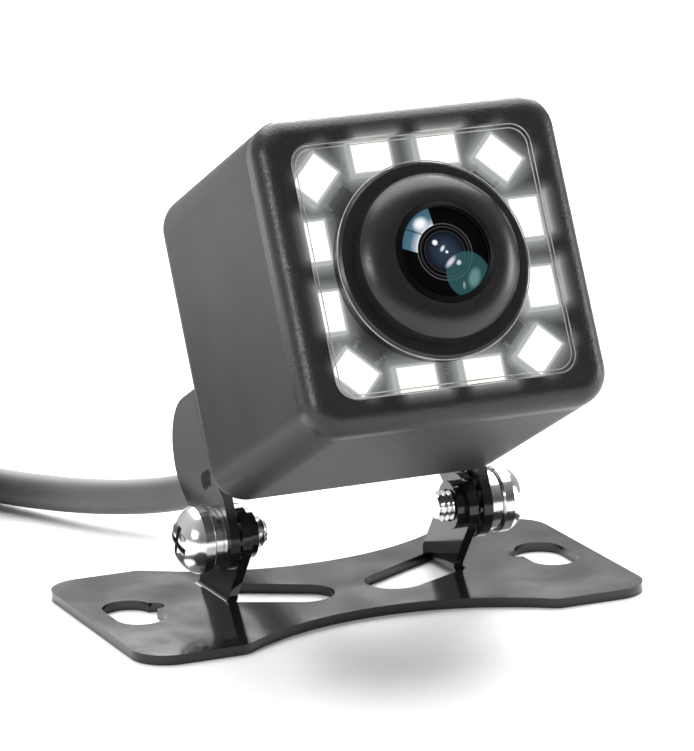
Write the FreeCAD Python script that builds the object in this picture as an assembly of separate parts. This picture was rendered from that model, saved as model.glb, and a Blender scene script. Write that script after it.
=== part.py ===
# Backup camera for a truck or trailer: a square camera head with a ring of LEDs, hung in a
# U-shaped yoke that tilts between the two ears of a bow-tie base plate.
#
# World frame, in millimetres: the origin is the centre of the base plate's underside, +Z is up,
# +X is the tilt axis and the camera looks towards -Y.
# Head frame: the origin is the centre of the housing's front plane, y runs back into the
# housing and z runs up its front. head_to_world tilts that frame about the pivot.
import FreeCAD
import Part
import math
import os

from FreeCAD import Vector

SMALL = 1e-4

# ---- driving dimensions -------------------------------------------------------------------
# Housing
HOUSING_W = 25.0
HOUSING_H = 24.8
HOUSING_D = 24.6
CORNER_R = 2.8
FRONT_FILLET = 1.6
BACK_FILLET = 2.3
HOUSING_WALL = 1.4
BACK_WALL = 1.8
BEZEL_DEPTH = 2.6
BEZEL_WALL = 0.9
WINDOW_SIZE = 20.1
WINDOW_CORNER_R = 1.7
WINDOW_RECESS = 0.3
WINDOW_T = 1.2
CAVITY = HOUSING_W - 2 * HOUSING_WALL
SEAL_T = 0.6

# Tilt: where the pivot lies in each frame, and how far the head is pitched up at rest
TILT = 26.5
PIVOT_HEAD_Y = 27.05
PIVOT_HEAD_Z = -14.2
PIVOT_Y = -1.0
PIVOT_Z = 6.5

# Base plate, a bow tie of sheet steel with two lanced ears
SHEET_T = 0.8
BASE_HALF_L = 21.8
BASE_HALF_W = 11.7
WAIST_HALF_W = 7.0
WAIST_HALF_L = 13.3
BASE_CORNER_R = 3.0
BASE_KNEE_R = 1.5
SLOT_X = 18.0
SLOT_Y = 0.6
SLOT_W = 4.0
SLOT_L = 7.0
NOTCH_R = 0.9
NOTCH_X = 16.0
NOTCH_Y = 1.6
EAR_IN_X = 9.4
EAR_OUT_X = EAR_IN_X + SHEET_T
EAR_R = 2.5
EAR_BEND_R = 0.4
EAR_ROOT_Y0 = -0.1
EAR_ROOT_Y1 = 6.1
COLLAR_R = 1.95
COLLAR_T = 0.8
LANCE_TIP_X = 4.0
LANCE_TIP_Y = -0.7

# Yoke, a U of sheet steel behind the housing
YOKE_T = 0.8
YOKE_OUT_X = 11.35
YOKE_BEND_R = 1.6
YOKE_TOP_Z = -2.4
YOKE_WEB_BOTTOM_Z = -8.8
LOBE_R = 4.6
LOBE_Y = PIVOT_HEAD_Y + 1.65
LOBE_Z = PIVOT_HEAD_Z + 7.2
LUG_R = 2.8
RELIEF_R = 0.75
YOKE_SCREW_X = 6.6
YOKE_SCREW_R = 0.9
YOKE_SCREW_HEAD_R = 1.7

# Pivot hardware, M2.5, given by how far out along X each piece starts and ends
SCREW_R = 1.25
THREAD_PITCH = 0.45
THREAD_DEPTH = 0.2
HOLE_R = 1.32
YOKE_HOLE_R = 1.33
SCREW_TIP_X = 7.45
TOOTH_X = (10.24, 10.51)
FLAT_X = (11.39, 11.75)
SPRING_X = (11.79, 12.4)
HEAD_X = (12.43, 14.75)
SCREW_HEAD_R = 2.7
WASHER_R = 2.45
SPRING_R = 2.4
TOOTH_R = 2.7
TOOTH_COUNT = 12

# LEDs: package outline, lit outline, and their places on the board
LED_L = 3.5
LED_W = 2.8
LED_H = 0.65
LIT_L = 3.05
LIT_W = 2.3
LIT_T = 0.05
LED_PAIR = 2.75
LED_EDGE = 8.85
LED_CORNER = 7.65
LED_TOP_Y = WINDOW_RECESS + WINDOW_T + 0.1
BOARD_Y = LED_TOP_Y + LIT_T + LED_H
BOARD_T = 1.0
BOARD_SIZE = 21.4

# Lens group, all turned about the lens axis (x = 0, z = 0)
SHROUD_R = 7.7
DOME_BASE_R = 6.45
DOME_BASE_Y = -1.0
DOME_TOP_Y = -2.1
BARREL_R = 3.98
GLASS_R = 3.55
LENS_FIT = 0.02
HOLDER_R = 5.3
SENSOR_BOARD_Y = 12.6

# Cable
CABLE_R = 1.5
CABLE_EXIT_Z = -6.0
GROMMET_TIP_Y = 32.6
GROMMET_NECK_R = 2.6
HEADER_W = 6.4
COIL_TURN_R = (15.6, 18.7)
COIL_CENTRE = (-37.8, 43.4)
COIL_LAYERS = 3
LAYER_H = 3.05
TIE_ANGLE = 200
PLUG_R = 4.4
PLUG_L = 22.0

X_AXIS = Vector(1, 0, 0)
Y_AXIS = Vector(0, 1, 0)
Z_AXIS = Vector(0, 0, 1)
ORIGIN = Vector(0, 0, 0)

# Route of the cable from the grommet's tip to the coil, chosen by hand
ROUTE = [
    (0.0, 7.63, 11.36),
    (0.0, 12.85, 8.76),
    (-2.1, 18.60, 5.25),
    (-5.9, 23.30, 3.30),
    (-10.2, 28.20, 2.50),
    (-13.6, 34.30, 1.95),
    (-16.6, 40.90, 1.60),
    (-18.7, 47.00, 1.55),
]
# Tail of the cable from the coil's top turn down to the plug
TAIL = [
    (-37.8, 62.1, 7.70),
    (-46.5, 62.1, 7.40),
    (-55.3, 58.8, 6.30),
    (-61.6, 52.2, 5.20),
    (-64.6, 43.8, 4.60),
    (-65.0, 35.5, 4.45),
]


# ---- helpers ------------------------------------------------------------------------------
def box(x0, x1, y0, y1, z0, z1):
    """A box between two corners."""
    return Part.makeBox(x1 - x0, y1 - y0, z1 - z0, Vector(x0, y0, z0))


def rod(radius, start, end):
    """A cylinder between two points."""
    a = Vector(*start)
    b = Vector(*end)
    return Part.makeCylinder(radius, (b - a).Length, a, b - a)


def ring(outer, inner, start, end):
    """A tube between two points, through its whole length."""
    return rod(outer, start, end).cut(rod(inner, start, end))


def fuse(shapes):
    """One solid of several that touch or overlap."""
    body = shapes[0]
    for other in shapes[1:]:
        body = body.fuse(other)
    return body.removeSplitter()


def turned(profile):
    """A solid turned about the lens axis from (radius, y) points."""
    points = [Vector(r, y, 0) for r, y in profile]
    face = Part.Face(Part.makePolygon(points + points[:1]))
    return face.revolve(ORIGIN, Y_AXIS, 360)


def turned_edges(edges):
    """A solid turned about the lens axis from a closed loop of edges in the XY plane."""
    return Part.Face(Part.Wire(edges)).revolve(ORIGIN, Y_AXIS, 360)


def rounded_block(width, height, radius, y0, y1):
    """A block along y with rounded upright corners, centred on the lens axis."""
    block = box(-width / 2, width / 2, y0, y1, -height / 2, height / 2)
    along = [e for e in block.Edges if abs(e.tangentAt(e.FirstParameter).y) > 0.99]
    return block.makeFillet(radius, along)


def edges_at_y(shape, y):
    """The edges of a shape that lie in the plane at one y."""
    found = []
    for edge in shape.Edges:
        bounds = edge.BoundBox
        if abs(bounds.YMin - y) < 1e-6 and abs(bounds.YMax - y) < 1e-6:
            found.append(edge)
    return found


def tangent_hull(centre_a, radius_a, centre_b, radius_b):
    """The flat outline of two circles joined by their outer tangents, as a face in YZ."""
    a = Vector(0, *centre_a)
    b = Vector(0, *centre_b)
    direction = math.atan2(b.z - a.z, b.y - a.y)
    lean = math.acos((radius_a - radius_b) / (b - a).Length)

    def on(centre, radius, angle):
        return centre + Vector(0, radius * math.cos(angle), radius * math.sin(angle))

    left = direction + lean
    right = direction - lean
    edges = [
        Part.LineSegment(on(a, radius_a, right), on(b, radius_b, right)).toShape(),
        Part.Arc(on(b, radius_b, right), on(b, radius_b, direction), on(b, radius_b, left)).toShape(),
        Part.LineSegment(on(b, radius_b, left), on(a, radius_a, left)).toShape(),
        Part.Arc(on(a, radius_a, left), on(a, radius_a, direction + math.pi),
                 on(a, radius_a, right)).toShape(),
    ]
    return Part.Face(Part.Wire(edges))


def head_to_world(shape):
    """Move a shape from the head frame to the world, tilted about the pivot."""
    moved = shape.copy()
    moved.translate(Vector(0, -PIVOT_HEAD_Y, -PIVOT_HEAD_Z))
    moved.rotate(ORIGIN, X_AXIS, -TILT)
    moved.translate(Vector(0, PIVOT_Y, PIVOT_Z))
    return moved


def mirrored(shape):
    """The same shape on the other side of the X = 0 plane."""
    return shape.mirror(ORIGIN, X_AXIS)


def both_sides(shape):
    """A shape and its mirror image as one group."""
    return Part.makeCompound([shape, mirrored(shape)])


def turned_by(shape, degrees, x=0.0, z=0.0):
    """A copy turned about the lens direction and moved across the front."""
    moved = shape.copy()
    moved.rotate(ORIGIN, Y_AXIS, degrees)
    moved.translate(Vector(x, 0, z))
    return moved


# ---- base ---------------------------------------------------------------------------------
def upright_edges(plate, half_x):
    """The straight upright edges of a sheet that stand at x = half_x or at x = -half_x."""
    return [
        edge for edge in plate.Edges
        if abs(edge.BoundBox.ZLength - SHEET_T) < SMALL
        and edge.BoundBox.XLength < SMALL
        and abs(abs(edge.BoundBox.XMin) - half_x) < 10 * SMALL
    ]


def bow_tie():
    """The plate's outline: two tabs with straight ends and a waist of two arcs."""
    left, right = -BASE_HALF_L, BASE_HALF_L
    back, front = BASE_HALF_W, -BASE_HALF_W
    knee = WAIST_HALF_L
    edges = [
        Part.LineSegment(Vector(left, front, 0), Vector(-knee, front, 0)).toShape(),
        Part.Arc(Vector(-knee, front, 0), Vector(0, -WAIST_HALF_W, 0), Vector(knee, front, 0)).toShape(),
        Part.LineSegment(Vector(knee, front, 0), Vector(right, front, 0)).toShape(),
        Part.LineSegment(Vector(right, front, 0), Vector(right, back, 0)).toShape(),
        Part.LineSegment(Vector(right, back, 0), Vector(knee, back, 0)).toShape(),
        Part.Arc(Vector(knee, back, 0), Vector(0, WAIST_HALF_W, 0), Vector(-knee, back, 0)).toShape(),
        Part.LineSegment(Vector(-knee, back, 0), Vector(left, back, 0)).toShape(),
        Part.LineSegment(Vector(left, back, 0), Vector(left, front, 0)).toShape(),
    ]
    plate = Part.Face(Part.Wire(edges)).extrude(Vector(0, 0, SHEET_T))
    plate = plate.makeFillet(BASE_CORNER_R, upright_edges(plate, BASE_HALF_L))
    knees = upright_edges(plate, WAIST_HALF_L)
    return plate.makeFillet(BASE_KNEE_R, knees)


def mounting_slot():
    """The cutter of one mounting slot: a long hole with a small notch towards the middle."""
    half = SLOT_L / 2 - SLOT_W / 2
    top = SHEET_T + 1
    near = rod(SLOT_W / 2, (SLOT_X, SLOT_Y - half, -1), (SLOT_X, SLOT_Y - half, top))
    far = rod(SLOT_W / 2, (SLOT_X, SLOT_Y + half, -1), (SLOT_X, SLOT_Y + half, top))
    middle = box(SLOT_X - SLOT_W / 2, SLOT_X + SLOT_W / 2, SLOT_Y - half, SLOT_Y + half, -1, top)
    notch = rod(NOTCH_R, (NOTCH_X, NOTCH_Y, -1), (NOTCH_X, NOTCH_Y, top))
    return fuse([near, far, middle, notch])


def lance_opening():
    """The cutter of the hole that one ear was bent up out of."""
    bend_x = EAR_OUT_X + EAR_BEND_R
    tip = Vector(LANCE_TIP_X, LANCE_TIP_Y, -1)
    run = Vector(bend_x - tip.x, (EAR_ROOT_Y0 + EAR_ROOT_Y1) / 2 - tip.y, 0)
    across = Vector(-run.y, run.x, 0).normalize() * EAR_R
    far = tip - run.normalize() * EAR_R
    edges = [
        Part.LineSegment(tip - across, Vector(bend_x, EAR_ROOT_Y0, -1)).toShape(),
        Part.LineSegment(Vector(bend_x, EAR_ROOT_Y0, -1), Vector(bend_x, EAR_ROOT_Y1, -1)).toShape(),
        Part.LineSegment(Vector(bend_x, EAR_ROOT_Y1, -1), tip + across).toShape(),
        Part.Arc(tip + across, far, tip - across).toShape(),
    ]
    return Part.Face(Part.Wire(edges)).extrude(Vector(0, 0, SHEET_T + 2))


def ear():
    """One ear: a quarter bend out of the plate and a leaning lug with a collared, threaded hole."""
    bend_z = SHEET_T + EAR_BEND_R
    bend_x = EAR_OUT_X + EAR_BEND_R
    outer = rod(EAR_BEND_R + SHEET_T, (bend_x, EAR_ROOT_Y0, bend_z), (bend_x, EAR_ROOT_Y1, bend_z))
    inner = rod(EAR_BEND_R, (bend_x, EAR_ROOT_Y0, bend_z), (bend_x, EAR_ROOT_Y1, bend_z))
    quarter = box(EAR_IN_X, bend_x, EAR_ROOT_Y0, EAR_ROOT_Y1, 0, bend_z)
    bend = outer.common(quarter).cut(inner)
    lug = Vector(EAR_IN_X, PIVOT_Y, PIVOT_Z)
    front_root = Vector(EAR_IN_X, EAR_ROOT_Y0, bend_z)
    back_root = Vector(EAR_IN_X, EAR_ROOT_Y1, bend_z)

    def tangent_from(root, side):
        gap = root - lug
        base = math.atan2(gap.z, gap.y)
        angle = base + side * math.acos(EAR_R / gap.Length)
        return lug + Vector(0, EAR_R * math.cos(angle), EAR_R * math.sin(angle))

    front = tangent_from(front_root, -1)
    back = tangent_from(back_root, 1)
    crown = lug + Vector(0, -0.6, 0.8) * EAR_R
    edges = [
        Part.LineSegment(front_root, front).toShape(),
        Part.Arc(front, crown, back).toShape(),
        Part.LineSegment(back, back_root).toShape(),
        Part.LineSegment(back_root, front_root).toShape(),
    ]
    stem = Part.Face(Part.Wire(edges)).extrude(X_AXIS * SHEET_T)
    collar = rod(COLLAR_R, (EAR_IN_X - COLLAR_T, PIVOT_Y, PIVOT_Z), (EAR_IN_X, PIVOT_Y, PIVOT_Z))
    body = fuse([bend, stem, collar])
    hole = rod(HOLE_R, (EAR_IN_X - 1, PIVOT_Y, PIVOT_Z), (EAR_OUT_X + 1, PIVOT_Y, PIVOT_Z))
    return body.cut(hole)


def base_plate():
    """The whole base: bow-tie plate, two slots, two openings and two ears, in one sheet."""
    plate = bow_tie()
    for cutter in (mounting_slot(), lance_opening()):
        plate = plate.cut(cutter).cut(mirrored(cutter))
    one_ear = ear()
    return fuse([plate, one_ear, mirrored(one_ear)])


# ---- yoke ---------------------------------------------------------------------------------
def housing_clearance():
    """The housing's lower back corner, grown a little, to keep the arms off it."""
    gap = 0.2
    low = -HOUSING_H / 2
    corner = (HOUSING_D - BACK_FILLET, low + BACK_FILLET)
    side = YOKE_OUT_X + 1
    round_part = rod(BACK_FILLET + gap, (0, *corner), (side, *corner))
    behind = box(0, side, 0, HOUSING_D + gap, corner[1], YOKE_WEB_BOTTOM_Z)
    below = box(0, side, 0, corner[0], low - gap, YOKE_WEB_BOTTOM_Z)
    return fuse([round_part, behind, below])


def yoke_arm():
    """One arm in the head frame: a round lobe that narrows to the lug at the pivot."""
    inner_x = YOKE_OUT_X - YOKE_T
    hull = tangent_hull((LOBE_Y, LOBE_Z), LOBE_R, (PIVOT_HEAD_Y, PIVOT_HEAD_Z), LUG_R)
    hull.translate(Vector(inner_x, 0, 0))
    arm = hull.extrude(X_AXIS * YOKE_T)
    bend_y = HOUSING_D + YOKE_BEND_R
    root = box(inner_x, YOKE_OUT_X, bend_y, LOBE_Y, YOKE_WEB_BOTTOM_Z, YOKE_TOP_Z)
    ahead = box(inner_x - 1, YOKE_OUT_X + 1, HOUSING_D - 5, bend_y, YOKE_WEB_BOTTOM_Z, YOKE_TOP_Z + 5)
    arm = fuse([arm, root]).cut(ahead).cut(housing_clearance())
    relief_z = YOKE_WEB_BOTTOM_Z - RELIEF_R
    relief_y = PIVOT_HEAD_Y + 0.4
    slot = box(inner_x - 1, YOKE_OUT_X + 1, HOUSING_D - 5, relief_y, relief_z - RELIEF_R,
               relief_z + RELIEF_R)
    end = rod(RELIEF_R, (inner_x - 1, relief_y, relief_z), (YOKE_OUT_X + 1, relief_y, relief_z))
    hole = rod(YOKE_HOLE_R, (inner_x - 1, PIVOT_HEAD_Y, PIVOT_HEAD_Z),
               (YOKE_OUT_X + 1, PIVOT_HEAD_Y, PIVOT_HEAD_Z))
    return arm.cut(slot).cut(end).cut(hole)


def yoke_bracket():
    """The yoke: a web flat against the housing's back and an arm bent back at each side."""
    bend_x = YOKE_OUT_X - YOKE_BEND_R
    bend_y = HOUSING_D + YOKE_BEND_R
    web = box(-bend_x, bend_x, HOUSING_D, HOUSING_D + YOKE_T, YOKE_WEB_BOTTOM_Z, YOKE_TOP_Z)
    outer = rod(YOKE_BEND_R, (bend_x, bend_y, YOKE_WEB_BOTTOM_Z), (bend_x, bend_y, YOKE_TOP_Z))
    inner = rod(YOKE_BEND_R - YOKE_T, (bend_x, bend_y, YOKE_WEB_BOTTOM_Z),
                (bend_x, bend_y, YOKE_TOP_Z))
    quarter = box(bend_x, YOKE_OUT_X, HOUSING_D, bend_y, YOKE_WEB_BOTTOM_Z, YOKE_TOP_Z)
    bend = outer.common(quarter).cut(inner)
    arm = yoke_arm()
    body = fuse([web, bend, mirrored(bend), arm, mirrored(arm)])
    body = body.cut(rod(GROMMET_NECK_R, (0, HOUSING_D - 1, CABLE_EXIT_Z),
                        (0, HOUSING_D + YOKE_T + 1, CABLE_EXIT_Z)))
    for x in (-YOKE_SCREW_X, YOKE_SCREW_X):
        body = body.cut(rod(YOKE_SCREW_R, (x, HOUSING_D - 1, CABLE_EXIT_Z),
                            (x, HOUSING_D + YOKE_T + 1, CABLE_EXIT_Z)))
    return body


def yoke_screws():
    """The two small screws that hold the yoke's web to the housing."""
    parts = []
    seat = HOUSING_D + YOKE_T
    for x in (-YOKE_SCREW_X, YOKE_SCREW_X):
        shank = rod(YOKE_SCREW_R, (x, HOUSING_D - 3.6, CABLE_EXIT_Z), (x, seat + 0.1, CABLE_EXIT_Z))
        head = rod(YOKE_SCREW_HEAD_R, (x, seat, CABLE_EXIT_Z), (x, seat + 1.1, CABLE_EXIT_Z))
        head = head.makeFillet(0.5, edges_at_y(head, seat + 1.1))
        cross = fuse([box(-1.0, 1.0, seat + 0.5, seat + 2, -0.2, 0.2),
                      box(-0.2, 0.2, seat + 0.5, seat + 2, -1.0, 1.0)])
        cross.translate(Vector(x, 0, CABLE_EXIT_Z))
        parts.append(fuse([shank, head]).cut(cross))
    return Part.makeCompound(parts)


# ---- housing ------------------------------------------------------------------------------
def main_housing():
    """The body of the head: a deep square cup, open at the front, with screw bosses behind."""
    shell = rounded_block(HOUSING_W, HOUSING_H, CORNER_R, BEZEL_DEPTH, HOUSING_D)
    shell = shell.makeFillet(BACK_FILLET, edges_at_y(shell, HOUSING_D))
    inner_h = HOUSING_H - 2 * HOUSING_WALL
    cavity = rounded_block(CAVITY, inner_h, CORNER_R - HOUSING_WALL, BEZEL_DEPTH - 1,
                           HOUSING_D - BACK_WALL)
    rebate = rounded_block(CAVITY + 1.2, inner_h + 1.2, CORNER_R - HOUSING_WALL + 0.6,
                           BEZEL_DEPTH - 1, BEZEL_DEPTH + SEAL_T)
    body = shell.cut(cavity).cut(rebate)
    for x in (-YOKE_SCREW_X, YOKE_SCREW_X):
        boss = rod(2.1, (x, HOUSING_D - BACK_WALL - 2.4, CABLE_EXIT_Z),
                   (x, HOUSING_D - BACK_WALL + 0.2, CABLE_EXIT_Z))
        body = body.fuse(boss)
        body = body.cut(rod(YOKE_SCREW_R, (x, HOUSING_D - 3.6, CABLE_EXIT_Z),
                            (x, HOUSING_D + 1, CABLE_EXIT_Z)))
    bore = rod(GROMMET_NECK_R, (0, HOUSING_D - 4, CABLE_EXIT_Z), (0, HOUSING_D + 1, CABLE_EXIT_Z))
    return body.cut(bore).removeSplitter()


def front_bezel():
    """The front frame: a rounded rim round the window, closed to the housing by a lip."""
    block = rounded_block(HOUSING_W, HOUSING_H, CORNER_R, 0, BEZEL_DEPTH)
    block = block.makeFillet(FRONT_FILLET, edges_at_y(block, 0))
    opening = rounded_block(WINDOW_SIZE, WINDOW_SIZE, WINDOW_CORNER_R, -1, BEZEL_DEPTH)
    inner_h = HOUSING_H - 2 * HOUSING_WALL
    cavity = rounded_block(CAVITY, inner_h, CORNER_R - HOUSING_WALL, BEZEL_WALL, BEZEL_DEPTH + 1)
    return block.cut(opening).cut(cavity)


def housing_seal():
    """The gasket in the joint between the bezel and the body."""
    inner_h = HOUSING_H - 2 * HOUSING_WALL
    outer = rounded_block(CAVITY + 1.2, inner_h + 1.2, CORNER_R - HOUSING_WALL + 0.6, BEZEL_DEPTH,
                          BEZEL_DEPTH + SEAL_T)
    inner = rounded_block(CAVITY, inner_h, CORNER_R - HOUSING_WALL, BEZEL_DEPTH - 1,
                          BEZEL_DEPTH + SEAL_T + 1)
    return outer.cut(inner)


def led_window():
    """The clear plate over the LEDs: a raised middle in the opening, a flange behind the rim."""
    raised = rounded_block(WINDOW_SIZE - 0.1, WINDOW_SIZE - 0.1, WINDOW_CORNER_R, WINDOW_RECESS,
                           WINDOW_RECESS + WINDOW_T)
    flange = rounded_block(CAVITY - 0.4, CAVITY - 0.6, WINDOW_CORNER_R, BEZEL_WALL,
                           WINDOW_RECESS + WINDOW_T)
    bore = rod(SHROUD_R + 0.03, (0, -1, 0), (0, 4, 0))
    return fuse([raised, flange]).cut(bore)


# ---- LED board ----------------------------------------------------------------------------
def led_places():
    """Each LED as (x, z, turn in degrees): two to a side and one across each corner."""
    places = []
    for quarter in range(4):
        angle = math.radians(90 * quarter)
        for along in (-LED_PAIR, LED_PAIR):
            x = along * math.cos(angle) + LED_EDGE * math.sin(angle)
            z = LED_EDGE * math.cos(angle) - along * math.sin(angle)
            places.append((x, z, 90 * quarter))
        across = math.radians(90 * quarter + 45)
        reach = LED_CORNER * math.sqrt(2)
        places.append((reach * math.sin(across), reach * math.cos(across), 90 * quarter + 45))
    return places


def led_board():
    """The square ring of circuit board that carries the LEDs."""
    board = rounded_block(BOARD_SIZE, BOARD_SIZE, 1.2, BOARD_Y, BOARD_Y + BOARD_T)
    return board.cut(rod(7.0, (0, 0, 0), (0, 6, 0)))


def led_group(length, width, y0, y1):
    """The same small slab at every LED."""
    slab = box(-length / 2, length / 2, y0, y1, -width / 2, width / 2)
    return Part.makeCompound([turned_by(slab, turn, x, z) for x, z, turn in led_places()])


def led_packages():
    """The white LED bodies."""
    return led_group(LED_L, LED_W, LED_TOP_Y + LIT_T, BOARD_Y)


def led_phosphors():
    """The lit rectangles on the LED bodies."""
    return led_group(LIT_L, LIT_W, LED_TOP_Y, LED_TOP_Y + LIT_T)


def led_resistors():
    """The chip resistors on the LED board, one inside each corner LED."""
    chip = box(-1.0, 1.0, BOARD_Y - 0.45, BOARD_Y, -0.62, 0.62)
    chips = []
    reach = 8.15
    for quarter in range(4):
        turn = 90 * quarter + 45
        across = math.radians(turn)
        chips.append(turned_by(chip, turn, reach * math.sin(across), reach * math.cos(across)))
    return Part.makeCompound(chips)


def post_places():
    """The board posts, as (x, z), between the corner LEDs and the walls."""
    reach = 9.75
    return [(x, z) for x in (-reach, reach) for z in (-reach, reach)]


def board_posts():
    """The spacers between the two circuit boards, bonded to the back of the LED board."""
    parts = []
    for x, z in post_places():
        parts.append(ring(1.0, 0.6, (x, BOARD_Y + BOARD_T, z), (x, SENSOR_BOARD_Y, z)))
    return Part.makeCompound(parts)


def board_screws():
    """The screws through the sensor board into the posts."""
    parts = []
    seat = SENSOR_BOARD_Y + BOARD_T
    for x, z in post_places():
        shank = rod(0.6, (x, seat - 4.5, z), (x, seat + 0.1, z))
        head = rod(0.95, (x, seat, z), (x, seat + 0.8, z))
        head = head.makeFillet(0.3, edges_at_y(head, seat + 0.8))
        parts.append(fuse([shank, head]))
    return Part.makeCompound(parts)


# ---- lens ---------------------------------------------------------------------------------
def lens_shroud():
    """The dark dome round the lens: flat flange, step, dome and a neck behind the window."""
    bore = BARREL_R + LENS_FIT
    flange_y = 0.1
    dome_mid = ((DOME_BASE_R + bore) / 2 + 0.35, (DOME_BASE_Y + DOME_TOP_Y) / 2 - 0.25)
    corners = [
        (bore, DOME_TOP_Y), (bore, 5.0), (6.8, 5.0), (6.8, 1.5), (SHROUD_R, 1.5),
        (SHROUD_R, flange_y + 0.2), (SHROUD_R - 0.2, flange_y), (DOME_BASE_R + 0.15, flange_y),
        (DOME_BASE_R, DOME_BASE_Y),
    ]
    points = [Vector(r, y, 0) for r, y in corners]
    edges = [Part.LineSegment(a, b).toShape() for a, b in zip(points, points[1:])]
    edges.append(Part.Arc(points[-1], Vector(*dome_mid, 0), points[0]).toShape())
    return turned_edges(edges)


def shroud_seal():
    """The foam ring between the shroud's flange and the LED board."""
    return ring(7.35, 6.85, (0, 1.5, 0), (0, BOARD_Y, 0))


def lens_barrel():
    """The lens tube: a front seat for the first element and a narrow, threaded rear."""
    front = DOME_TOP_Y + 0.05
    outside = [(BARREL_R, front), (BARREL_R, 10.6)]
    inside = [(2.25, 10.6), (2.25, 0.9), (GLASS_R + LENS_FIT, 0.9), (GLASS_R + LENS_FIT, front)]
    body = turned(outside + inside)
    for index in range(6):
        y = 7.2 + 0.5 * index
        body = body.cut(ring(BARREL_R + 1, BARREL_R - 0.12, (0, y, 0), (0, y + 0.22, 0)))
    return body


def lens_retaining_ring():
    """The thin ring that holds the first element in the barrel."""
    front = DOME_TOP_Y + 0.05
    return turned([(GLASS_R, front - 0.25), (BARREL_R - 0.02, front - 0.1), (BARREL_R - 0.02, front),
                   (GLASS_R, front)])


def sphere_cap(radius, y, height):
    """The cap of a sphere that stands on a disc at y, height along +y, or -y if negative."""
    tall = abs(height)
    ball_r = (radius ** 2 + tall ** 2) / (2 * tall)
    side = 1 if height > 0 else -1
    ball = Part.makeSphere(ball_r, Vector(0, y + side * (tall - ball_r), 0))
    low, high = sorted((y, y + side * (tall + 1)))
    return ball.common(rod(radius, (0, low, 0), (0, high, 0)))


def lens_element(radius, front_y, back_y, front_bulge, back_bulge):
    """A round glass element with curved faces; a bulge is positive when the face stands out."""
    disc = rod(radius, (0, front_y, 0), (0, back_y, 0))
    disc = disc.fuse(sphere_cap(radius, front_y, -front_bulge))
    if back_bulge:
        disc = disc.fuse(sphere_cap(radius, back_y, back_bulge))
    return disc.removeSplitter()


def front_lens():
    """The wide first element, behind the retaining ring, hollowed at its back."""
    glass = lens_element(GLASS_R, DOME_TOP_Y + 0.1, 0.5, 0.35, 0.0)
    return glass.cut(sphere_cap(GLASS_R - 0.8, 0.5, -1.1))


def lens_spacer():
    """The black ring behind the first element, with the small aperture that is seen."""
    return turned([(2.2, 0.5), (GLASS_R, 0.5), (GLASS_R, 0.88), (1.6, 0.88)])


def second_lens():
    """The second element, seen deep in the barrel."""
    return lens_element(2.2, 1.6, 3.2, 0.5, 0.3)


def third_lens():
    """The third element."""
    return lens_element(2.2, 4.0, 5.4, 0.3, 0.4)


def rear_lens():
    """The last element, before the filter."""
    return lens_element(2.2, 6.9, 8.3, 0.4, 0.3)


def lens_sleeve():
    """The rings that space the inner elements."""
    first = ring(2.2, 1.9, (0, 3.3, 0), (0, 3.9, 0))
    second = ring(2.2, 1.9, (0, 5.52, 0), (0, 6.78, 0))
    return Part.makeCompound([first, second])


def infrared_filter():
    """The small square filter between the lens and the sensor."""
    return box(-2.4, 2.4, 10.85, 11.15, -2.4, 2.4)


def lens_holder():
    """The mount on the sensor board that the barrel screws into."""
    neck = rod(HOLDER_R, (0, 6.6, 0), (0, 11.0, 0))
    foot = box(-6.2, 6.2, 9.8, SENSOR_BOARD_Y, -6.2, 6.2)
    body = fuse([neck, foot]).cut(rod(BARREL_R + 0.02, (0, 0, 0), (0, 10.65, 0)))
    body = body.cut(box(-2.4, 2.4, 10.0, 11.15, -2.4, 2.4))
    return body.cut(box(-4.2, 4.2, 11.15, SENSOR_BOARD_Y + 1, -4.2, 4.2))


# ---- electronics --------------------------------------------------------------------------
def sensor_board():
    """The camera's main circuit board."""
    board = rounded_block(BOARD_SIZE, BOARD_SIZE, 1.2, SENSOR_BOARD_Y, SENSOR_BOARD_Y + BOARD_T)
    for x, z in post_places():
        board = board.cut(rod(0.65, (x, 10, z), (x, 20, z)))
    return board


def image_sensor():
    """The sensor package in the middle of the board."""
    return box(-3.2, 3.2, SENSOR_BOARD_Y - 0.7, SENSOR_BOARD_Y, -2.8, 2.8)


def sensor_glass():
    """The cover glass on the sensor."""
    return box(-2.9, 2.9, SENSOR_BOARD_Y - 1.1, SENSOR_BOARD_Y - 0.7, -2.5, 2.5)


def processor_chip():
    """The signal processor on the back of the sensor board."""
    y = SENSOR_BOARD_Y + BOARD_T
    return box(-3.0, 3.0, y, y + 0.9, 0.6, 6.6)


def board_components():
    """The larger parts on the back of the sensor board: inductor, capacitors and crystal."""
    y = SENSOR_BOARD_Y + BOARD_T
    parts = [box(-8.3, -4.3, y, y + 2.0, 1.0, 5.0), box(4.4, 7.6, y, y + 1.2, 4.6, 6.6)]
    for x in (4.9, 7.1):
        parts.append(rod(0.9, (x, y, 1.6), (x, y + 1.8, 1.6)))
    parts.append(box(-8.4, -6.4, y, y + 0.6, -1.8, -0.6))
    return Part.makeCompound(parts)


def wire_header():
    """The socket on the board for the cable's wires."""
    y = SENSOR_BOARD_Y + BOARD_T
    block = box(-HEADER_W / 2, HEADER_W / 2, y, y + 3.0, CABLE_EXIT_Z - 1.7, CABLE_EXIT_Z + 1.7)
    return block.cut(box(-HEADER_W / 2 + 0.5, HEADER_W / 2 - 0.5, y + 0.6, y + 4, CABLE_EXIT_Z - 1.2,
                         CABLE_EXIT_Z + 1.2))


def wire_plug():
    """The crimp housing on the wires' ends."""
    y = SENSOR_BOARD_Y + BOARD_T
    return box(-HEADER_W / 2 + 0.55, HEADER_W / 2 - 0.55, y + 0.65, y + 4.4, CABLE_EXIT_Z - 1.15,
               CABLE_EXIT_Z + 1.15)


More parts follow.
